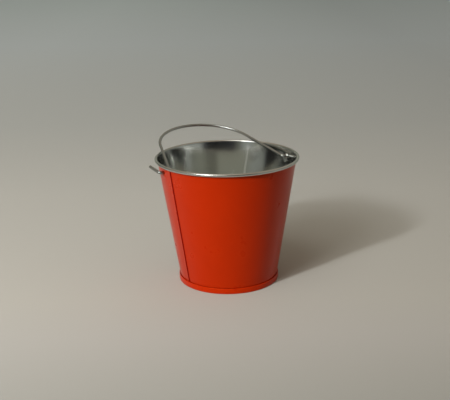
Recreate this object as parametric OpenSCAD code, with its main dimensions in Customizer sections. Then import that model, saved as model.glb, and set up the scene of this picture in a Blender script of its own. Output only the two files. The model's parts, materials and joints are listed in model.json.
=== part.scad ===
// Small tinplate pail with a wire bail, in millimetres, +Z up.
// The origin is the centre of the foot, on the surface that the pail stands on.
// +X runs along the bail's pivot axis, and the bail lies back over the rim towards +Y.

/* [Pail] */
// Outside diameter over the rolled rim
rim_d = 120; // [100:1:150]
// Height from the foot to the top of the rolled rim
height = 106.2; // [85:0.1:150]
// Outside diameter of the seam round the foot
foot_d = 85; // [70:1:92]
// Thickness of the tinplate
sheet = 0.3; // [0.25:0.01:0.36]

/* [Rolled rim] */
// Outside diameter of the roll
roll_d = 2.6; // [2.4:0.1:3.6]
// Gap between the roll's free edge and the wall
roll_edge_gap = 0.2; // [0.1:0.05:0.4]
// Gap all round the stiffening wire inside the roll
rim_wire_gap = 0.05; // [0.04:0.01:0.2]

/* [Foot seam] */
// Height of the seam that locks the wall and the bottom together
seam_h = 4.8; // [4:0.1:8]
// Gap between neighbouring layers of the seam
layer_gap = 0.03; // [0.03:0.01:0.05]
// Gap between a hook's edge and the fold that it reaches into
hook_end_gap = 0.5; // [0.1:0.1:0.8]
// Radius of the two bends under the foot, to the middle of the sheet
foot_bend_r = 0.4; // [0.3:0.05:0.5]
// Height of the bottom panel's underside above the surface
bottom_recess = 3.2; // [1.5:0.1:3.5]

/* [Side seam] */
// Angle of the seam round the pail, from +X
side_seam_angle = 192.2; // [188:0.1:202]
// Width of the folded strip inside the wall
fold_w = 4; // [2.5:0.1:6]
// Width of the groove along the outside
groove_w = 0.9; // [0.5:0.05:1]
// Depth of the groove along the outside
groove_depth = 0.18; // [0.1:0.01:0.2]

/* [Bail holes] */
// Depth of the pivot axis below the top of the rim
pivot_drop = 7; // [6.5:0.1:12]
// Radial clearance of the bail in its holes
hole_clearance = 0.25; // [0.1:0.05:0.4]
// Thickness of the punched collar round each hole
collar_wall = 0.35; // [0.25:0.05:0.6]
// How far each collar stands inside the wall
collar_depth = 0.5; // [0.3:0.1:0.8]

/* [Bail] */
// Diameter of the bail's wire
wire_d = 2.5; // [2:0.1:2.8]
// Distance from the wall's inside to the corner where the wire turns up, on the pivot axis
corner_inset = 4.3; // [3.6:0.1:6]
// Height of the middle of the arch above the pivot axis
bail_h = 81; // [76:0.5:95]
// Radius of the arch, to the middle of the wire
arch_r = 42; // [38:0.5:44]
// Radius of the bend inside the wall, to the middle of the wire
inner_bend_r = 2.5; // [2:0.1:3]
// Radius of the bend outside the wall, to the middle of the wire
outer_bend_r = 2.2; // [1.8:0.1:2.4]
// Height of the turned-up end above the pivot axis
end_h = 13; // [9:0.5:16]
// Outward lean of the turned-up end, from the plumb line
end_splay = 14; // [10:1:18]
// How far the bail has slid along its axis, off the middle
bail_slide = 0.8; // [0:0.1:1]

/* [Running gaps] */
// Gap between the bail and the roll, where it lies on it and where its ends pass it
bail_gap = 0.25; // [0.2:0.05:0.4]

/* [Hidden] */
$fn = 96;
bend_steps = 8;

// The roll
roll_r = roll_d / 2;
roll_hollow_r = roll_r - sheet;
roll_at = [rim_d / 2 - roll_r, height - roll_r];
rim_wire_r = roll_hollow_r - rim_wire_gap;

// The foot seam's layers, by the radius of each one's middle, counted inwards
layer = sheet + layer_gap;
function layer_r(n) = foot_d / 2 - sheet / 2 - n * layer;
seaming_wall_r = layer_r(0);
body_hook_r = layer_r(1);
cover_hook_r = layer_r(2);
body_wall_r = layer_r(3);
chuck_wall_r = layer_r(4);
seam_top_z = seam_h - sheet / 2;
seam_bottom_z = sheet / 2;
body_hook_top_z = seam_top_z - layer - hook_end_gap;
cover_hook_end_z = seam_bottom_z + 2 * layer + hook_end_gap;
panel_z = bottom_recess + sheet / 2;

// The wall runs straight from the seam's top to where it turns into the roll
wall_start = [body_wall_r + sheet / 2, seam_h];
to_roll = roll_at - wall_start;
taper = atan2(to_roll[0], to_roll[1]) - asin(roll_hollow_r / norm(to_roll));
inward = [-cos(taper), sin(taper)];
wall_end = roll_at + roll_hollow_r * inward;
function wall_outer_r(z) = wall_start[0] + (z - wall_start[1]) * tan(taper);
function wall_point(z, depth) = [wall_outer_r(z), z] + depth * inward;
roll_edge_angle = acos((roll_hollow_r - roll_edge_gap) / roll_r);

// The side seam
fold_t = 2 * sheet;
fold_low_z = seam_h;
fold_high_z = height - roll_d;
fold_turn = fold_w / 2 / wall_outer_r(height / 2) * 180 / PI;

// The pivot and its holes
wire_r = wire_d / 2;
pivot_z = height - pivot_drop;
hole_r = wire_r + hole_clearance;
wall_inside_x = wall_outer_r(pivot_z) - sheet / cos(taper);
punch_past = 1;
collar_l = wall_outer_r(pivot_z) + punch_past - wall_inside_x + collar_depth;

// The bail, drawn upright with its pivot axis at height 0
arch_at = [0, bail_h - arch_r];
inner_corner = [wall_inside_x - corner_inset, 0];
corner_to_arch = norm(inner_corner - arch_at);
leg_lean = acos(arch_r / corner_to_arch) - atan2(arch_at[1], inner_corner[0]);
leg_up = [-sin(leg_lean), cos(leg_lean)];
leg_end = arch_at + arch_r * [cos(leg_lean), sin(leg_lean)];
inner_run = inner_bend_r * tan((90 - leg_lean) / 2);
roll_above_pivot = roll_at[1] - pivot_z;
end_clear = roll_r + wire_r + bail_gap;
outer_corner = [
    roll_at[0] + bail_slide + (end_clear - roll_above_pivot * sin(end_splay)) / cos(end_splay),
    0
];
end_up = [sin(end_splay), cos(end_splay)];
outer_run = outer_bend_r * tan((90 - end_splay) / 2);
end_tip = outer_corner + end_up * (end_h / cos(end_splay));
bend_lap = 0.05;
bend_swell = 0.01;

// How far the bail leans back before it lies on the roll
function arch_angle(s) = leg_lean + (s - 1) * (90 - leg_lean);
function bail_point(s) = s < 1
    ? inner_corner + s * (leg_end - inner_corner)
    : arch_at + arch_r * [cos(arch_angle(s)), sin(arch_angle(s))];
function roll_distance(p, lean) = norm([
    norm([p[0] + bail_slide, p[1] * sin(lean)]) - roll_at[0],
    p[1] * cos(lean) - roll_above_pivot
]);
function nearest_roll(lean) = min([for (s = [0.1 : 0.01 : 2]) roll_distance(bail_point(s), lean)]);
function settle(low, high, n) = n == 0
    ? low
    : nearest_roll((low + high) / 2) > end_clear
        ? settle((low + high) / 2, high, n - 1)
        : settle(low, (low + high) / 2, n - 1);
rest_lean = settle(30, 90, 30);

// A strip of sheet that follows a path in the plane, with mitred corners
function along(a, b) = (b - a) / norm(b - a);
function side_of(a, b) = [-along(a, b)[1], along(a, b)[0]];
function offset_point(path, i, d) = let (
        before = side_of(path[max(i, 1) - 1], path[max(i, 1)]),
        after = side_of(path[min(i, len(path) - 2)], path[min(i, len(path) - 2) + 1]),
        both = before + after
    ) path[i] + both * (2 * d / (both * both));
module strip(path) {
    last = len(path) - 1;
    polygon(concat(
        [for (i = [0 : last]) offset_point(path, i, sheet / 2)],
        [for (i = [last : -1 : 0]) offset_point(path, i, -sheet / 2)]
    ));
}

// A bend of a path about a centre, from one angle to another
function bend(at, r, from, to) = [
    for (turn = [from : (to - from) / bend_steps : to]) at + r * [cos(turn), sin(turn)]
];

// The roll's cross-section, open where its free edge nears the wall
module roll_section() {
    start = 180 - taper;
    translate(roll_at) difference() {
        circle(roll_r);
        circle(roll_hollow_r);
        polygon([
            [0, 0],
            2 * roll_r * [cos(start), sin(start)],
            2 * roll_r * [cos(start + roll_edge_angle / 2), sin(start + roll_edge_angle / 2)],
            2 * roll_r * [cos(start + roll_edge_angle), sin(start + roll_edge_angle)]
        ]);
    }
}

module wall_section() {
    fold_at = [cover_hook_r, seam_bottom_z + 2 * layer];
    strip(concat(
        [wall_end + sheet / 2 * inward, [body_wall_r, seam_h]],
        bend(fold_at, layer, 180, 360),
        [[body_hook_r, body_hook_top_z]]
    ));
}

// A bar along the wall, between two depths below its outer face
module wall_bar(width, depth_out, depth_in) {
    rotate([90, 0, 0]) linear_extrude(width, center = true) polygon([
        wall_point(fold_low_z, depth_out),
        wall_point(fold_high_z, depth_out),
        wall_point(fold_high_z, depth_in),
        wall_point(fold_low_z, depth_in)
    ]);
}

// One tapered sheet: hooked at the foot, folded to itself at the side and rolled over at the rim
module body_sheet() {
    color("orangered") difference() {
        union() {
            rotate_extrude() {
                wall_section();
                roll_section();
            }
            rotate([0, 0, side_seam_angle - fold_turn]) wall_bar(fold_w, sheet / 2, sheet + fold_t);
            hole_collars();
        }
        rotate([0, 0, side_seam_angle]) wall_bar(groove_w, -sheet, groove_depth);
        for (side = [-90, 90])
            translate([0, 0, pivot_z]) rotate([0, side, 0]) cylinder(r = hole_r, h = rim_d / 2);
    }
}

// The metal that the punch pushed in round each hole, kept inside the middle of the wall
module hole_collars() {
    intersection() {
        for (side = [-1, 1])
            translate([side * (wall_inside_x - collar_depth), 0, pivot_z]) rotate([0, side * 90, 0])
                cylinder(r = hole_r + collar_wall, h = collar_l);
        rotate_extrude() polygon([
            [0, fold_low_z],
            wall_point(fold_low_z, sheet / 2),
            wall_point(fold_high_z, sheet / 2),
            [0, fold_high_z]
        ]);
    }
}

// A pressed disc, raised off the surface, whose edge is folded round the wall's hook
module bottom_pan() {
    foot_bend_z = seam_bottom_z + foot_bend_r;
    top_at = [body_hook_r, seam_top_z - layer];
    color("orangered") rotate_extrude() strip(concat(
        [[0, panel_z], [chuck_wall_r, panel_z]],
        bend([chuck_wall_r + foot_bend_r, foot_bend_z], foot_bend_r, 180, 270),
        bend([seaming_wall_r - foot_bend_r, foot_bend_z], foot_bend_r, 270, 360),
        bend(top_at, layer, 0, 180),
        [[cover_hook_r, cover_hook_end_z]]
    ));
}

// The ring of wire that the rim is rolled over
module rim_wire() {
    color("silver") rotate_extrude() translate(roll_at) circle(rim_wire_r);
}

// A straight length of the bail's wire between two points of its plane, lapped into its neighbours
module straight(from, to) {
    run = to - from;
    translate([from[0], 0, from[1]]) rotate([0, atan2(run[0], run[1]), 0])
        translate([0, 0, -bend_lap]) cylinder(d = wire_d, h = norm(run) + 2 * bend_lap);
}

// A bent length of the bail's wire about a centre in its plane, a hair thicker than the straights
module bent(at, r, from, to) {
    translate([at[0], 0, at[1]]) rotate([90, 0, 0]) rotate([0, 0, from])
        rotate_extrude(angle = to - from) translate([r, 0]) circle(wire_r + bend_swell);
}

// One side of the bail, from the arch down through its hole to the turned-up end
module bail_side() {
    inner_bend_at = inner_corner + [inner_run, inner_bend_r];
    outer_bend_at = outer_corner + [-outer_run, outer_bend_r];
    straight(inner_corner + inner_run * leg_up, leg_end);
    bent(inner_bend_at, inner_bend_r, 180 + leg_lean, 270);
    straight(inner_corner + [inner_run, 0], outer_corner - [outer_run, 0]);
    bent(outer_bend_at, outer_bend_r, 270, 360 - end_splay);
    straight(outer_corner + outer_run * end_up, end_tip);
}

// One wire, sprung into the two holes and turned up outside them
module bail_wire() {
    color("lightgray") translate([bail_slide, 0, pivot_z]) rotate([-rest_lean, 0, 0]) {
        bent(arch_at, arch_r, leg_lean, 180 - leg_lean);
        bail_side();
        mirror([1, 0, 0]) bail_side();
    }
}

body_sheet();
bottom_pan();
rim_wire();
bail_wire();
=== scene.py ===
import json
import math

import bpy
from mathutils import Matrix, Vector


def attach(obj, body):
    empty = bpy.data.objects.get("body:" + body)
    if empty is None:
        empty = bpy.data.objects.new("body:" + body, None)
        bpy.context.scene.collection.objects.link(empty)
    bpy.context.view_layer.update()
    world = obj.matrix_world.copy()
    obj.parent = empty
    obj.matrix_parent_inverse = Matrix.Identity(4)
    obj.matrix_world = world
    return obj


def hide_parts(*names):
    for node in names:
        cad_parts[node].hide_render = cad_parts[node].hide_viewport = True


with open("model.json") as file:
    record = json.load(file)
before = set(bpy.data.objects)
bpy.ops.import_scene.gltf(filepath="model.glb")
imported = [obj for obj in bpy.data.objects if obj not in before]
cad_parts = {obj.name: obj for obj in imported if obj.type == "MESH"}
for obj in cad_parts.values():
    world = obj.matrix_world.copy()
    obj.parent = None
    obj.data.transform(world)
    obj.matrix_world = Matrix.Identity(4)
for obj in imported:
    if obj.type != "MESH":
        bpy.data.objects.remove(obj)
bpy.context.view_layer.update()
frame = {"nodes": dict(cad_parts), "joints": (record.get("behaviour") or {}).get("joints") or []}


# The view: a camera standing where the photograph was taken, a little to the left and above.
# Its place was fitted to the rim, the foot and the bail as the photograph shows them.
camera_place = Vector((-0.29745, -0.61844, 0.2765))
camera_turn = math.radians(-25.5)
camera_down = math.radians(16.92)
camera_roll = math.radians(-1.02)
camera_lens = 68.18
camera_sensor = 36

bpy.ops.object.camera_add()
camera = bpy.context.object
camera.matrix_world = (
    Matrix.Translation(camera_place)
    @ Matrix.Rotation(camera_turn, 4, "Z")
    @ Matrix.Rotation(math.pi / 2 - camera_down, 4, "X")
    @ Matrix.Rotation(camera_roll, 4, "Z")
)
camera.data.lens = camera_lens
camera.data.sensor_width = camera_sensor
bpy.context.scene.camera = camera
bpy.context.scene.view_settings.view_transform = "Standard"


# The stage: a pale floor of paper, with painted shade that makes it cooler and a little darker into
# the distance.
# A small upright lamp stands to the left and in front of the bucket. The room round it is only
# light: plain walls, a dark side and a lit ceiling, which the bare tin has to mirror.
class Varying:
    """A value that varies over a surface. A sum on it adds Math nodes to its material."""

    def __init__(self, tree, socket):
        self.tree = tree
        self.socket = socket

    def maths(self, operation, *values):
        """The result of a Math node's operation."""
        return add_node(self.tree, "Math", {"operation": operation}, values)

    def along(self, axis):
        """One of the three parts of a point or a direction."""
        return add_node(self.tree, "SeparateXYZ", {}, (self,), axis)

    def rise(self, start, end):
        """A share that goes from 0 to 1 as the value goes from start to end."""
        ends = {"Value": self, "From Min": start, "From Max": end}
        return add_node(self.tree, "MapRange", {}, ends)

    def __abs__(self):
        return self.maths("ABSOLUTE", self)

    def __add__(self, other):
        return self.maths("ADD", self, other)

    def __radd__(self, other):
        return self + other

    def __sub__(self, other):
        return self.maths("SUBTRACT", self, other)

    def __rsub__(self, other):
        return self.maths("SUBTRACT", other, self)

    def __mul__(self, other):
        return self.maths("MULTIPLY", self, other)

    def __rmul__(self, other):
        return self * other

    def __truediv__(self, other):
        return self.maths("DIVIDE", self, other)

    def __gt__(self, other):
        return self.maths("GREATER_THAN", self, other)

    def __lt__(self, other):
        return self.maths("LESS_THAN", self, other)


def fill(socket, value):
    """Links a socket to a value that varies, or writes a plain one. A plain colour is opaque."""
    if isinstance(value, Varying):
        value.tree.links.new(value.socket, socket)
    elif socket.type == "RGBA":
        socket.default_value = (*value, 1)
    else:
        socket.default_value = value


def add_node(tree, kind, settings, inputs, output=0):
    """Adds one shader node. Its settings go on first, then its inputs, by order or by name."""
    node = tree.nodes.new("ShaderNode" + kind)
    for name, setting in settings.items():
        if name == "stops":
            for extra in setting[2:]:
                node.color_ramp.elements.new(0.5)
            for stop, (place, colour) in zip(node.color_ramp.elements, setting):
                stop.position = place
                stop.color = (*colour, 1)
        else:
            setattr(node, name, setting)
    named = inputs.items() if isinstance(inputs, dict) else enumerate(inputs)
    for name, value in named:
        fill(node.inputs[name], value)
    return Varying(tree, node.outputs[output])


def ramp(share, stops):
    """A colour that runs through the stops as the share goes from 0 to 1."""
    return add_node(share.tree, "ValToRGB", {"stops": stops}, {"Fac": share}, "Color")


def blend(tree, share, first, second, way="MIX"):
    """A colour that goes from the first to the second as the share goes from 0 to 1."""
    share_in, first_in, second_in, colour_out = 0, 6, 7, 2
    settings = {"data_type": "RGBA", "blend_type": way}
    inputs = {share_in: share, first_in: first, second_in: second}
    return add_node(tree, "Mix", settings, inputs, colour_out)


class Finish:
    """A material for one finish of the bucket or its stage."""

    def __init__(self, name, **constants):
        self.material = bpy.data.materials.new(name)
        self.material.use_nodes = True
        self.tree = self.material.node_tree
        self.shader = self.tree.nodes["Principled BSDF"]
        for socket, value in constants.items():
            fill(self.shader.inputs[socket.replace("_", " ")], value)

    def node(self, kind, settings, inputs, output=0):
        return add_node(self.tree, kind, settings, inputs, output)

    def place(self, turned=(0, 0, 0), scaled=(1, 1, 1)):
        """The point on the piece, turned and stretched as a pattern needs."""
        point = self.node("TexCoord", {}, (), "Object")
        return self.node("Mapping", {}, {"Vector": point, "Rotation": turned, "Scale": scaled})

    def grain(self, scale, detail, scaled=(1, 1, 1)):
        """Soft noise between 0 and 1 that is fixed to the piece."""
        inputs = {"Vector": self.place(scaled=scaled), "Scale": scale, "Detail": detail}
        return self.node("TexNoise", {}, inputs)

    def drive(self, socket, varying):
        """Lets a value of the finish vary over the piece."""
        fill(self.shader.inputs[socket], varying)

    def mix_in(self, kind, inputs, share):
        """Lays a second shader over the first where the share is high."""
        first = Varying(self.tree, self.shader.outputs[0])
        second = self.node(kind, {}, inputs)
        mixed = self.node("MixShader", {}, (share, first, second))
        fill(self.tree.nodes["Material Output"].inputs["Surface"], mixed)

    def bump(self, height, distance):
        self.drive("Normal", self.node("Bump", {}, {"Height": height, "Distance": distance}))


black = (0, 0, 0)
white = (1, 1, 1)

# The floor's tones run from near to far, each with its distance beyond the bucket in metres. They are
# painted light and shade that set how bright and how cool it looks with distance, and a painted shade
# makes it dimmer away from the lamp. Past its front edge it is painted near-black for all but the
# camera's rays: a painted darkness that the bucket mirrors.
floor_half = 8.0
floor_rough = 0.9
floor_tones = [
    (-0.25, (0.28, 0.28, 0.25)),
    (-0.12, (0.39, 0.38, 0.35)),
    (-0.05, (0.42, 0.41, 0.37)),
    (0.25, (0.44, 0.44, 0.41)),
    (0.65, (0.40, 0.42, 0.41)),
    (1.75, (0.39, 0.44, 0.46)),
    (3.6, (0.32, 0.38, 0.39)),
]
# Painted shade away from the lamp: the share of the tone left at the far side, and half the width it
# darkens over.
painted_side_shade = (0.73, 0.73, 0.73)
side_shade_reach = 0.5
# Painted darkness: where the floor's front edge lies, and the near-black it is painted past it.
front_edge = -0.9
painted_dark = (0.03, 0.03, 0.03)

bpy.ops.object.select_all(action="DESELECT")
bpy.ops.mesh.primitive_plane_add(size=2 * floor_half)
floor = bpy.context.object
floor.name = "floor"

paper = Finish("pale_paper", Roughness=floor_rough)
on_floor = paper.place(turned=(0, 0, -camera_turn))
away = on_floor.along("Y")
across = on_floor.along("X")
nearest, farthest = floor_tones[0][0], floor_tones[-1][0]
tone_stops = [((place - nearest) / (farthest - nearest), tone) for place, tone in floor_tones]
tone = ramp((away - nearest) / (farthest - nearest), tone_stops)
# Painted shade: the floor darkens across its width, away from the lamp.
side_shade_ramp = ramp(across / (2 * side_shade_reach) + 0.5, [(0, white), (1, painted_side_shade)])
floor_with_shade = blend(paper.tree, 1.0, tone, side_shade_ramp, way="MULTIPLY")
# Painted darkness: past the front edge the floor is near-black for every ray but the camera's.
painted_dark_share = (away < front_edge) * (1 - paper.node("LightPath", {}, (), "Is Camera Ray"))
paper.drive("Base Color", blend(paper.tree, painted_dark_share, floor_with_shade, painted_dark))
floor.data.materials.append(paper.material)

# The lamp: its own reflection is switched off, and a round spot of the room stands in for it.
lamp_turn = math.radians(206)
lamp_away = 0.817
lamp_height = 0.555
lamp_width = 0.045
lamp_tall = 0.13
lamp_power = 6.95
lamp_colour = (0.99, 1.0, 1.02)
lamp_place = Vector((lamp_away * math.cos(lamp_turn), lamp_away * math.sin(lamp_turn), lamp_height))

bpy.ops.object.light_add(type="AREA", location=lamp_place)
lamp = bpy.context.object
lamp.rotation_euler = lamp_place.to_track_quat("Z", "Y").to_euler()
lamp.visible_camera = False
lamp.visible_glossy = False
lamp.data.shape = "ELLIPSE"
lamp.data.size = lamp_width
lamp.data.size_y = lamp_tall
lamp.data.energy = lamp_power
lamp.data.color = lamp_colour

# The room: the walls' brightness goes round the bucket by degrees, from -X anticlockwise.
# The lamp lights the ceiling above it with a wide glow, and the spot is the lamp itself.
room_tone = (0.325, 0.33, 0.275)
cool_tone = (0.325, 0.338, 0.315)
dark_tone = (0.29, 0.30, 0.32)
room_levels = [
    (-180, 0.70, room_tone), (-167, 0.72, room_tone), (-160, 0.78, cool_tone),
    (-150, 0.94, cool_tone), (-143, 0.68, cool_tone), (-136, 0.36, room_tone),
    (-126, 0.10, dark_tone), (-106, 0.05, dark_tone), (-86, 0.05, dark_tone),
    (-78, 0.14, dark_tone), (-68, 0.88, cool_tone), (-52, 1.00, cool_tone),
    (-30, 1.06, cool_tone), (0, 0.97, room_tone), (90, 0.98, room_tone),
    (104, 0.55, room_tone), (122, 0.48, room_tone), (146, 0.74, room_tone),
    (162, 0.88, room_tone), (180, 0.70, room_tone),
]
ceiling_tone = (0.435, 0.36, 0.28)
walls_end = 0.35
ceiling_start = 0.65
glow_tone = (2.8, 2.7, 2.5)
glow_lift = math.radians(60)
glow_rings = [(math.radians(42), 0), (math.radians(18), 0.07), (math.radians(12.5), 1)]
spot_tone = (13.0, 13.0, 12.8)
spot_lift = math.radians(33)
spot_rings = [(math.radians(11.5), 0), (math.radians(8), 1)]
backdrop_tone = (0.25, 0.265, 0.245)

room = bpy.context.scene.world or bpy.data.worlds.new("room")
bpy.context.scene.world = room
room.use_nodes = True
air = room.node_tree
direction = add_node(air, "TexCoord", {}, (), "Generated")


def round_light(lift, rings):
    """A round patch above the lamp, from its rings: each an angle off its middle and a share."""
    level = math.cos(lift)
    middle = (math.cos(lamp_turn) * level, math.sin(lamp_turn) * level, math.sin(lift))
    operation = {"operation": "DOT_PRODUCT"}
    nearness = add_node(air, "VectorMath", operation, (direction, middle), "Value")
    return ramp(nearness, [(math.cos(off), (share, share, share)) for off, share in rings])


turn = direction.maths("ARCTAN2", direction.along("Y"), direction.along("X"))
wall_stops = [
    (degrees / 360 + 0.5, [level * part for part in wall_tone])
    for degrees, level, wall_tone in room_levels
]
walls = ramp(turn / (2 * math.pi) + 0.5, wall_stops)
overhead = ramp(direction.along("Z"), [(walls_end, black), (ceiling_start, white)])
bare_room = blend(air, overhead, walls, ceiling_tone)
lit_room = blend(air, round_light(glow_lift, glow_rings), bare_room, glow_tone)
lamp_room = blend(air, round_light(spot_lift, spot_rings), lit_room, spot_tone)
seen = add_node(air, "LightPath", {}, (), "Is Camera Ray")
fill(air.nodes["Background"].inputs["Color"], blend(air, seen, lamp_room, backdrop_tone))


# The stiffening wire: a ring of tinned steel wire that the rim is rolled over.
# The roll hides it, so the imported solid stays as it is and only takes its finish.
tinned_colour = (0.66, 0.66, 0.64)
tinned_rough = 0.2
tinned_scratch = 0.2
drawn_scale = 900.0
drawn_detail = 3.0

tinned = Finish("tinned_wire", Metallic=1.0, Base_Color=tinned_colour)
tinned.drive("Roughness", tinned_rough + tinned_scratch * tinned.grain(drawn_scale, drawn_detail))
frame["nodes"]["rim_wire"].data.materials.clear()
frame["nodes"]["rim_wire"].data.materials.append(tinned.material)


# The body: one sheet of tinplate, bare inside, bent round to a cone and folded to itself down
# the side. It is hooked at the foot and rolled outwards over the rim wire, so the roll shows its
# bare face, and each bail hole is punched inwards, which leaves a dimple and a collar.
class Path:
    """A line of the XZ plane, drawn on stretch by stretch from what is selected in edit mode."""

    def __init__(self, piece, x, z):
        self.piece = piece
        self.at = Vector((x, 0, z))

    def straight(self, x, z, parts=1):
        """Goes straight on to a point, in equal parts."""
        step = (Vector((x, 0, z)) - self.at) / parts
        for part in range(parts):
            bpy.ops.mesh.extrude_region_move(TRANSFORM_OT_translate={"value": step})
        self.at = Vector((x, 0, z))

    def bend(self, x, z, degrees, steps):
        """Goes round a centre, anticlockwise as seen with +X to the right and +Z up."""
        centre = Vector((x, 0, z))
        angle = math.radians(degrees)
        bpy.ops.mesh.spin(steps=steps, angle=angle, center=centre, axis=(0, 1, 0))
        self.at = centre + Matrix.Rotation(-angle, 3, "Y") @ (self.at - centre)


def start_sheet(name, x, z):
    """One point, in edit mode, from which the edge of a sheet is drawn."""
    bpy.ops.object.select_all(action="DESELECT")
    bpy.ops.mesh.primitive_plane_add(size=sheet)
    piece = bpy.context.object
    piece.name = name
    bpy.ops.object.mode_set(mode="EDIT")
    bpy.ops.mesh.select_mode(type="VERT")
    bpy.ops.mesh.select_all(action="SELECT")
    bpy.ops.mesh.merge(type="CENTER")
    bpy.ops.transform.translate(value=(x, 0, z))
    return Path(piece, x, z)


def take(piece):
    """Leaves edit mode and selects one piece alone."""
    bpy.ops.object.mode_set(mode="OBJECT")
    bpy.ops.object.select_all(action="DESELECT")
    piece.select_set(True)
    bpy.context.view_layer.objects.active = piece


def choose(piece, kind, wanted, adding=False):
    """Selects the piece's vertices, edges or faces that pass a test, and goes into edit mode."""
    take(piece)
    bpy.ops.object.mode_set(mode="EDIT")
    bpy.ops.mesh.select_mode(type=kind)
    if not adding:
        bpy.ops.mesh.select_all(action="DESELECT")
    bpy.ops.object.mode_set(mode="OBJECT")
    mesh = piece.data
    for part in {"VERT": mesh.vertices, "EDGE": mesh.edges, "FACE": mesh.polygons}[kind]:
        if wanted(part):
            part.select = True
    bpy.ops.object.mode_set(mode="EDIT")


def spin_round(piece, near, outward):
    """Turns a drawn line once round the bucket's axis. The face at near looks outward."""
    bpy.ops.mesh.select_all(action="SELECT")
    bpy.ops.mesh.spin(steps=around, angle=2 * math.pi, center=(0, 0, 0), axis=(0, 0, 1))
    bpy.ops.mesh.select_all(action="SELECT")
    bpy.ops.mesh.remove_doubles(threshold=weld_reach)
    bpy.ops.mesh.normals_make_consistent(inside=False)
    bpy.ops.object.mode_set(mode="OBJECT")
    nearest = min(piece.data.polygons, key=lambda face: (face.center - Vector(near)).length)
    if nearest.normal.dot(Vector(outward)) < 0:
        choose(piece, "FACE", lambda face: True)
        bpy.ops.mesh.flip_normals()
        bpy.ops.object.mode_set(mode="OBJECT")


def apply_modifier(piece, kind, **settings):
    """Shapes a piece with a modifier, and leaves the result in its mesh."""
    take(piece)
    modifier = piece.modifiers.new(kind.lower(), kind)
    for name, value in settings.items():
        setattr(modifier, name, value)
    bpy.ops.object.modifier_apply(modifier=modifier.name)


def thicken_tin(piece):
    """Gives a sheet its thickness, which lies under the face and leaves room for the paint."""
    apply_modifier(
        piece, "SOLIDIFY", thickness=tin_thickness, offset=-1 - 2 * paint / tin_thickness,
        use_even_offset=True,
    )


def smooth(piece):
    """Shades a piece smoothly, apart from its sharp edges."""
    take(piece)
    bpy.ops.object.shade_smooth_by_angle(angle=smooth_angle)


def copy_faces(piece, name, wanted):
    """Copies the chosen faces of a surface into a piece of their own."""
    choose(piece, "FACE", wanted)
    bpy.ops.mesh.duplicate()
    bpy.ops.mesh.separate(type="SELECTED")
    bpy.ops.object.mode_set(mode="OBJECT")
    copy = next(o for o in bpy.context.selected_objects if o != piece)
    copy.name = name
    return copy


def finish_piece(piece, finish, node, body_name):
    """Gives a finished mesh its material, hides the imported part it stands for, and hangs it on the
    body it moves with.
    """
    piece.data.materials.clear()
    piece.data.materials.append(finish.material)
    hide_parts(node)
    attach(piece, body_name)


rim_radius = 0.060
rim_height = 0.1062
foot_radius = 0.0425
seam_height = 0.0048
sheet = 0.0003
layer = sheet + 0.00003
hook_gap = 0.0005
paint = 0.00002
tin_thickness = sheet - paint
around = 256
weld_reach = 0.000005
smooth_angle = math.radians(40)

roll_radius = 0.0013
roll_gap = 0.0002
hollow = roll_radius - sheet
roll_x = rim_radius - roll_radius
roll_z = rim_height - roll_radius
wall_foot = foot_radius - 3 * layer
wall_rise = roll_z - seam_height
wall_reach = roll_x - wall_foot
wall_run = math.hypot(wall_reach, wall_rise)
taper = math.atan2(wall_reach, wall_rise) - math.asin(hollow / wall_run)
wall_top_z = roll_z + hollow * math.sin(taper)
edge_turn = math.acos((hollow - roll_gap) / roll_radius)
edge_angle = math.pi - taper + edge_turn


def wall_at(z):
    """A point of the wall's outer face: its distance from the axis, and its height, which is given."""
    return wall_foot + (z - seam_height) * math.tan(taper), z


pivot_z = frame["joints"][0]["pos_m"][2]
patch = 0.0042
patch_parts = 6
hook_x = foot_radius - sheet / 2 - layer
hook_end = seam_height - sheet / 2 - layer
fold_x = hook_x - layer
fold_z = sheet / 2 + 2 * layer

edge = start_sheet(
    "body_sheet_tin",
    roll_x + hollow * math.cos(edge_angle),
    roll_z + hollow * math.sin(edge_angle),
)
edge.bend(roll_x, roll_z, 360 - math.degrees(edge_turn), steps=40)
edge.straight(*wall_at(pivot_z + patch))
edge.straight(*wall_at(pivot_z - patch), parts=patch_parts)
edge.straight(*wall_at(seam_height), parts=44)
edge.straight(wall_foot, fold_z, parts=3)
edge.bend(fold_x, fold_z, 180, steps=8)
edge.straight(hook_x - sheet / 2, hook_end - hook_gap)
body = edge.piece
mid_z = rim_height / 2
spin_round(body, near=(wall_at(mid_z)[0], 0, mid_z), outward=(1, 0, 0))

# The holes: a square patch of the wall is opened round each, filled in again with rings,
# and pressed to a dimple with a collar at the hole.
hole_radius = 0.0015
dimple_radius = 0.0030
dimple_rings = (0.0027, 0.0024, 0.0021, 0.0019, 0.00173, 0.0016, hole_radius)
dimple_depth = 0.0002
collar_depth = 0.0005
collar_reach = 0.00035
slack = sheet / 4
wall_slack = hollow / 4


def across_pivot(co):
    """How far a point lies from the pivot axis."""
    return math.hypot(co.y, co.z - pivot_z)


def in_patch(co, side, margin=0.0):
    """Whether a point of the wall lies in the square patch round one hole."""
    on_wall = 0 < side * co.x < wall_at(co.z)[0] + wall_slack
    return on_wall and abs(co.y) < patch + margin and abs(co.z - pivot_z) < patch + margin


def opening_edges(side):
    """The edges round the opening of one patch, each as the pair of points that it joins."""
    faces_at = {}
    for face in body.data.polygons:
        for key in face.edge_keys:
            faces_at[key] = faces_at.get(key, 0) + 1
    points = body.data.vertices
    return {
        key for key, faces in faces_at.items()
        if faces == 1 and all(in_patch(points[end].co, side, margin=patch / 4) for end in key)
    }


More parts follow.
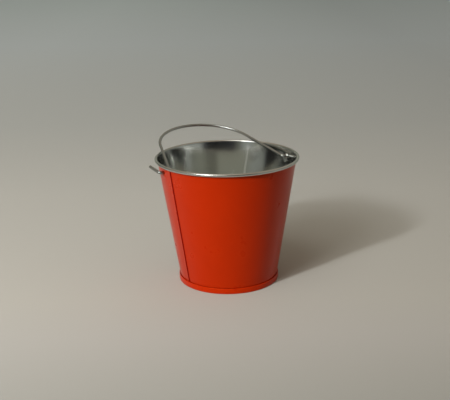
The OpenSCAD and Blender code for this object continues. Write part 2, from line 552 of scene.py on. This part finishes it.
for side in (-1, 1):
    choose(body, "FACE", lambda face: in_patch(face.center, side))
    bpy.ops.mesh.delete(type="FACE")
    bpy.ops.object.mode_set(mode="OBJECT")
    opening = opening_edges(side)
    hole_at = (side * wall_at(pivot_z)[0], 0, pivot_z)
    bpy.ops.object.mode_set(mode="EDIT")
    bpy.ops.mesh.primitive_circle_add(
        vertices=4 * patch_parts,
        radius=dimple_radius,
        location=hole_at,
        rotation=(0, math.pi / 2, 0),
    )
    choose(body, "EDGE", lambda side_edge: side_edge.key in opening, adding=True)
    bpy.ops.mesh.bridge_edge_loops()
    choose(body, "VERT", lambda vertex: (
        abs(across_pivot(vertex.co) - dimple_radius) < slack
        and abs(vertex.co.x - hole_at[0]) < slack
    ))
    ring_before = dimple_radius
    for ring in dimple_rings:
        bpy.ops.mesh.extrude_region_move()
        share = ring / ring_before
        bpy.ops.transform.resize(value=(1, share, share), center_override=hole_at)
        ring_before = ring
    bpy.ops.object.mode_set(mode="OBJECT")

for vertex in body.data.vertices:
    wall_radius = wall_at(vertex.co.z)[0]
    off_axis = across_pivot(vertex.co)
    if off_axis < dimple_radius + slack and abs(vertex.co.x) < wall_radius + wall_slack:
        pressed = dimple_depth * (1 - off_axis / dimple_radius) ** 2
        pressed += collar_depth * math.exp((hole_radius - off_axis) / collar_reach)
        out = math.sqrt(wall_radius ** 2 - vertex.co.y ** 2) - pressed
        vertex.co.x = math.copysign(out, vertex.co.x)

# The side seam: the sheet stays flat for a few millimetres on either side of it, and its
# line is a groove pressed in from outside.
seam_turn = math.radians(192.7)
seam_out = Vector((math.cos(seam_turn), math.sin(seam_turn), 0))
seam_along = Vector((-math.sin(seam_turn), math.cos(seam_turn), 0))
flat_width = 0.006
flat_from = 0.009
flat_until = 0.100
groove_half = 0.0007
groove_floor = 0.0005
groove_depth = 0.00024
groove_slack = sheet / 10
fold_width = 0.004
fold_thickness = 2 * sheet
fold_rounding = 0.0003
fold_facing = 0.9


def near_seam(co, width):
    """Whether a point lies no further than a width to either side of the seam."""
    return co.dot(seam_out) > 0 and abs(co.dot(seam_along)) < width


def fade(value, start, end):
    """Rises smoothly from 0 at start to 1 at end."""
    share = min(1, max(0, (value - start) / (end - start)))
    return share * share * (3 - 2 * share)


for offset in (-fold_width, -groove_half, -groove_floor, 0, groove_floor, groove_half):
    choose(body, "FACE", lambda face: (
        near_seam(face.center, 3 * fold_width) and face.center.z > seam_height
    ))
    bpy.ops.mesh.bisect(plane_co=offset * seam_along, plane_no=seam_along)
bpy.ops.object.mode_set(mode="OBJECT")

for vertex in body.data.vertices:
    co = vertex.co
    radius = math.hypot(co.x, co.y)
    if near_seam(co, flat_width) and abs(radius - wall_at(co.z)[0]) < slack:
        half_turn = flat_width / radius
        off_seam = abs(math.atan2(co.dot(seam_along), co.dot(seam_out)))
        if off_seam < half_turn:
            flat = fade(co.z, seam_height, flat_from) * (1 - fade(co.z, flat_until, wall_top_z))
            grown = 1 + flat * (1 / math.cos(half_turn - off_seam) - 1)
            vertex.co = Vector((co.x * grown, co.y * grown, co.z))

# The wall isn't quite true: it has shallow dents, which the bare inside shows as it mirrors.
dent_size = 0.03
dent_depth = 0.0002
dents_from = 0.02
dents_until = 0.085
dents_end = 0.100

dents = bpy.data.textures.new("dents", "CLOUDS")
dents.noise_scale = dent_size
dents.noise_depth = 1
loose = body.vertex_groups.new(name="wall")
for vertex in body.data.vertices:
    z = vertex.co.z
    clear_of_holes = fade(across_pivot(vertex.co), dimple_radius, 3 * dimple_radius)
    clear_of_ends = fade(z, seam_height, dents_from) * (1 - fade(z, dents_until, dents_end))
    loose.add([vertex.index], clear_of_ends * clear_of_holes, "REPLACE")
apply_modifier(
    body, "DISPLACE", texture=dents, strength=dent_depth, mid_level=0.5,
    vertex_group="wall", texture_coords="LOCAL",
)


def is_painted(face):
    """Whether a face is on the wall's outside, between the foot seam and the rolled rim."""
    flat_out = Vector((face.center.x, face.center.y, 0))
    return (
        seam_height - 2 * layer < face.center.z < wall_top_z
        and face.normal.dot(flat_out) > 0
        and flat_out.length > wall_at(face.center.z)[0] - hole_radius
        and flat_out.length < wall_at(face.center.z)[0] + 2 * sheet
    )


def press_groove(piece):
    """Pushes the middle of the seam's line in, on the face that looks outwards."""
    for vertex in piece.data.vertices:
        co = vertex.co
        if near_seam(co, groove_floor + groove_slack) and co.z > seam_height:
            out = math.hypot(co.x, co.y) - wall_at(co.z)[0]
            if -sheet / 3 < out < 3 * sheet:
                vertex.co = co - groove_depth * Vector((co.x, co.y, 0)).normalized()


body_coat = copy_faces(body, "body_paint", is_painted)
thicken_tin(body)
press_groove(body)

# The fold of the seam lies against the inside, beside the groove.
inward = Vector((
    -math.cos(taper) * seam_out.x, -math.cos(taper) * seam_out.y, math.sin(taper)
))
choose(body, "FACE", lambda face: (
    -fold_width < face.center.dot(seam_along) < 0
    and face.center.dot(seam_out) > 0
    and seam_height < face.center.z < rim_height - 2 * roll_radius
    and face.normal.dot(inward) > fold_facing
))
bpy.ops.mesh.extrude_region_move(TRANSFORM_OT_translate={"value": fold_thickness * inward})
bpy.ops.mesh.region_to_loop()
bpy.ops.mesh.bevel(offset=fold_rounding, segments=4)
smooth(body)

# Bare tinplate has the fine lines of the rolls up its wall, and is duller where it was strained round
# the rim.
# A thin upright line on the inside is painted brighter: a painted reflection of the seam's fold,
# mirrored across the bucket.
sheen = (0.68, 0.69, 0.665)
dulled = (0.50, 0.51, 0.49)
painted_reflection_tone = (1.0, 1.0, 1.0)
rolled_scale = 400.0
rolled_detail = 3.0
rolled_stretch = (1, 1, 0.1)
tin_rough = 0.09
rolled_rough = 0.06
strained_rough = 0.13
# The painted reflection: where its line stands round the bucket and how it leans, its height and
# length, and its width.
painted_line_turn = math.radians(47.1)
painted_line_lean = 0.112
painted_line_middle = 0.080
painted_line_half = 0.024
painted_line_core = 0.0006
painted_line_end = 0.0013

tin = Finish("tinplate", Metallic=1.0)
rolled = tin.grain(rolled_scale, rolled_detail, scaled=rolled_stretch)
height = tin.place().along("Z")
strained = height.rise(wall_top_z - roll_radius, wall_top_z)
aged = blend(tin.tree, strained, sheen, dulled)
# Painted reflection: a bright upright line on the inside of the wall, where the seam's fold shows
# mirrored.
from_painted_line = tin.place(turned=(0, 0, -painted_line_turn))
off_painted_line = from_painted_line.along("Y") + painted_line_lean * (height - painted_line_middle)
across_painted_line = abs(off_painted_line).rise(painted_line_end, painted_line_core)
along_painted_line = abs(height - painted_line_middle).rise(painted_line_half, painted_line_half / 2)
painted_reflection = (from_painted_line.along("X") > 0) * across_painted_line * along_painted_line
tin.drive("Base Color", blend(tin.tree, painted_reflection, aged, painted_reflection_tone))
tin.drive("Roughness", tin_rough + rolled_rough * rolled + strained_rough * strained)
finish_piece(body, tin, "body_sheet", "pail")


# The body's paint: a stoved orange-red enamel, put on the outside of the sheet before it was bent.
# It follows the seam's groove and the dimples, and ends where the sheet goes into the roll.
coat_thickness = 2 * paint

apply_modifier(body_coat, "SOLIDIFY", thickness=coat_thickness, offset=-1.0)
press_groove(body_coat)
smooth(body_coat)

# Painted shade: a dark, dull red is laid over the seam's groove and, more faintly, over the corner
# above the foot seam.
# Elsewhere its colour and gloss vary slightly, with the fine unevenness of sprayed paint.
thin_red = (0.420, 0.0184, 0.0010)
thick_red = (0.376, 0.0154, 0.0008)
gloss_tint = (1.0, 0.4, 0.1)
gloss_index = 1.4
# Painted shade: its colour, and where it lies across the groove and above the foot seam.
groove_shade_red = (0.16, 0.0012, 0.0003)
crease_core = 0.0008
crease_end = 0.0012
corner_core = 0.0003
corner_end = 0.0008
corner_below = 0.00005
corner_shade_strength = 0.42
mottle_scale = 60.0
mottle_detail = 4.0
enamel_rough = 0.24
mottle_rough = 0.1
peel_scale = 350.0
peel_detail = 2.0
peel_height = 0.00002

enamel = Finish("red_enamel", IOR=gloss_index, Specular_Tint=gloss_tint)
from_seam = enamel.place(turned=(0, 0, -seam_turn))
height = from_seam.along("Z")
# Painted shade down the seam's groove, and fainter in the corner above the foot seam.
crease = (from_seam.along("X") > 0) * abs(from_seam.along("Y")).rise(crease_end, crease_core)
in_corner = corner_shade_strength * height.rise(seam_height + corner_end, seam_height + corner_core)
on_wall = height > seam_height - corner_below
painted_groove_shade = on_wall * crease.maths("MAXIMUM", crease, in_corner)
enamel.mix_in("BsdfDiffuse", {"Color": groove_shade_red}, painted_groove_shade)
mottle = enamel.grain(mottle_scale, mottle_detail)
enamel.drive("Base Color", blend(enamel.tree, mottle, thin_red, thick_red))
enamel.drive("Roughness", enamel_rough + mottle_rough * mottle)
enamel.bump(enamel.grain(peel_scale, peel_detail), distance=peel_height)
finish_piece(body_coat, enamel, "body_sheet", "pail")


# The bottom: a disc of the same sheet, pressed with a raised panel, bare above and painted below.
# Its edge is folded up round the body's hook and rolled flat, which makes the band round the foot.
recess = 0.0032
panel_bend = 0.0005
foot_bend = 0.0004
chuck_x = foot_radius - sheet / 2 - 4 * layer
cover_end = sheet / 2 + 2 * layer + hook_gap

edge = start_sheet("bottom_pan_tin", 0, recess)
edge.straight(chuck_x - sheet / 2 - panel_bend, recess, parts=8)
edge.bend(edge.at.x, recess - panel_bend, -90, steps=5)
edge.straight(chuck_x - sheet / 2, sheet / 2 + foot_bend)
edge.bend(chuck_x + foot_bend, sheet / 2 + foot_bend, 90, steps=6)
edge.straight(foot_radius - sheet / 2 - foot_bend, 0)
edge.bend(edge.at.x, sheet / 2 + foot_bend, 90, steps=6)
edge.straight(foot_radius, hook_end, parts=3)
edge.bend(hook_x, hook_end, 180, steps=14)
edge.straight(fold_x - sheet / 2, cover_end)
pan = edge.piece
spin_round(pan, near=(0, 0, recess), outward=(0, 0, -1))
pan_coat = copy_faces(pan, "bottom_paint", lambda face: not (
    chuck_x < face.center.xy.length < wall_foot + sheet / 2
    and cover_end < face.center.z < hook_end
))
thicken_tin(pan)
smooth(pan)
finish_piece(pan, tin, "bottom_pan", "pail")
apply_modifier(pan_coat, "SOLIDIFY", thickness=coat_thickness, offset=-1.0)
smooth(pan_coat)
finish_piece(pan_coat, enamel, "bottom_pan", "pail")


# The bail: one length of bright drawn steel wire, bent to an arch and sprung into the two holes.
# Each end comes out through its hole and is turned up outside the wall, where it was cut off.
wire_radius = 0.00125
wire_sides = 24
bail_height = 0.081
arch_radius = 0.042
corner_inset = 0.0043
inner_bend = 0.0025
outer_bend = 0.0022
end_height = 0.013
end_splay = math.radians(14)
bail_slide = 0.0008
bail_gap = 0.00025
bail_lean = math.radians(77.379)
cut_bevel = 0.0002

arch_z = bail_height - arch_radius
corner_x = wall_at(pivot_z)[0] - sheet / math.cos(taper) - corner_inset
leg_lean = (
    math.acos(arch_radius / math.hypot(corner_x, arch_z)) - math.atan2(arch_z, corner_x)
)
inner_run = inner_bend * math.tan((math.pi / 2 - leg_lean) / 2)
outer_run = outer_bend * math.tan((math.pi / 2 - end_splay) / 2)
rim_clear = roll_radius + wire_radius + bail_gap
from_roll = (rim_clear - (roll_z - pivot_z) * math.sin(end_splay)) / math.cos(end_splay)
outer_x = roll_x + bail_slide + from_roll

bpy.ops.object.select_all(action="DESELECT")
bpy.ops.mesh.primitive_circle_add(
    vertices=wire_sides,
    radius=wire_radius,
    location=(0, 0, bail_height),
    rotation=(0, math.pi / 2, 0),
)
bail = bpy.context.object
bail.name = "bail_wire_bent"
bpy.ops.object.transform_apply()
bpy.ops.object.mode_set(mode="EDIT")
bpy.ops.mesh.select_mode(type="VERT")
bpy.ops.mesh.select_all(action="SELECT")
bent = Path(bail, 0, bail_height)
bent.bend(0, arch_z, math.degrees(leg_lean) - 90, steps=60)
bent.straight(
    corner_x - inner_run * math.sin(leg_lean), inner_run * math.cos(leg_lean), parts=12
)
bent.bend(corner_x + inner_run, inner_bend, 90 - math.degrees(leg_lean), steps=14)
bent.straight(outer_x - outer_run, 0, parts=4)
bent.bend(outer_x - outer_run, outer_bend, 90 - math.degrees(end_splay), steps=14)
end_along = Vector((math.sin(end_splay), 0, math.cos(end_splay)))
tip = Vector((outer_x, 0, 0)) + end_along * (end_height - cut_bevel) / math.cos(end_splay)
bent.straight(tip.x, tip.z, parts=4)
bpy.ops.mesh.extrude_region_move(TRANSFORM_OT_translate={"value": cut_bevel * end_along})
share = 1 - cut_bevel / wire_radius
bpy.ops.transform.resize(
    value=(share, share, share), center_override=tip + cut_bevel * end_along
)
bpy.ops.mesh.edge_face_add()
apply_modifier(bail, "MIRROR", use_axis=(True, False, False), merge_threshold=weld_reach)
choose(bail, "FACE", lambda face: True)
bpy.ops.mesh.normals_make_consistent(inside=False)
bpy.ops.object.mode_set(mode="OBJECT")
bail.rotation_euler.x = -bail_lean
bail.location = (bail_slide, 0, pivot_z)
bpy.ops.object.transform_apply()
smooth(bail)

bright_colour = (0.34, 0.36, 0.355)
bright_rough = 0.23
bright_scratch = 0.04

bright = Finish("bright_wire", Metallic=1.0, Base_Color=bright_colour)
bright.drive("Roughness", bright_rough + bright_scratch * bright.grain(drawn_scale, drawn_detail))
finish_piece(bail, bright, "bail_wire", "bail")
